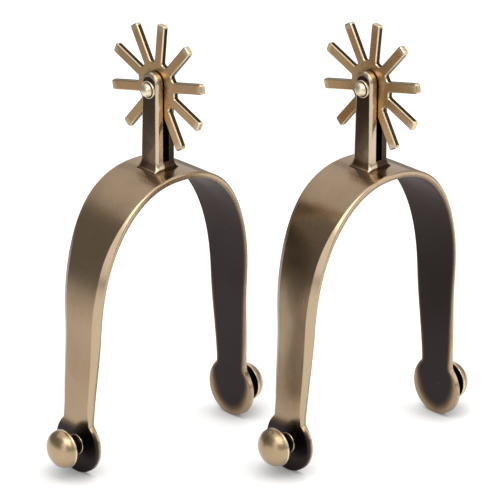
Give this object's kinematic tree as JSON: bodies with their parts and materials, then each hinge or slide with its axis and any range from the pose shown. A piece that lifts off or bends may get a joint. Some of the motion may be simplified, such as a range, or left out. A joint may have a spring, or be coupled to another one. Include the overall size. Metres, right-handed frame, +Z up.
{
  "type": "spurs",
  "caption": "Pair of antique brass spurs with arched heel bands, forked shanks, star rowels that spin on riveted pins, and domed strap buttons.",
  "frame": {"origin": "on the floor at the middle of the pair's box", "axes": "+X from arm to arm of each spur and along the rowel pins, +Y across the width of the heel bands, +Z up from the pads to the rowels"},
  "size_m": [0.1736, 0.1062, 0.1778],
  "materials": {
    "band_brass": "satin antique brass, darkened inside",
    "shank_brass": "dark antique brass with rubbed edges",
    "rowel_brass": "satin antique brass",
    "pin_brass": "pale polished brass",
    "button_brass": "polished antique brass"
  },
  "bodies": {
    "left_spur": {"left_heel_band": "band_brass", "left_shank": "shank_brass", "left_rowel_pin": "pin_brass", "left_outer_button": "button_brass", "left_inner_button": "button_brass"},
    "left_rowel": {"left_rowel": "rowel_brass"},
    "right_spur": {"right_heel_band": "band_brass", "right_shank": "shank_brass", "right_rowel_pin": "pin_brass", "right_outer_button": "button_brass", "right_inner_button": "button_brass"},
    "right_rowel": {"right_rowel": "rowel_brass"}
  },
  "joints": [
    {"name": "left_rowel_spin", "type": "hinge", "parent": "left_spur", "child": "left_rowel", "pos_m": [-0.03155, 0.02725, 0.1515], "axis": [1, 0, 0], "continuous": true},
    {"name": "right_spur_slide", "type": "slide", "parent": "left_spur", "child": "right_spur", "axis": [1, 0, 0], "range_m": [0, 0.1]},
    {"name": "right_rowel_spin", "type": "hinge", "parent": "right_spur", "child": "right_rowel", "pos_m": [0.03155, -0.02725, 0.1515], "axis": [1, 0, 0], "continuous": true}
  ]
}
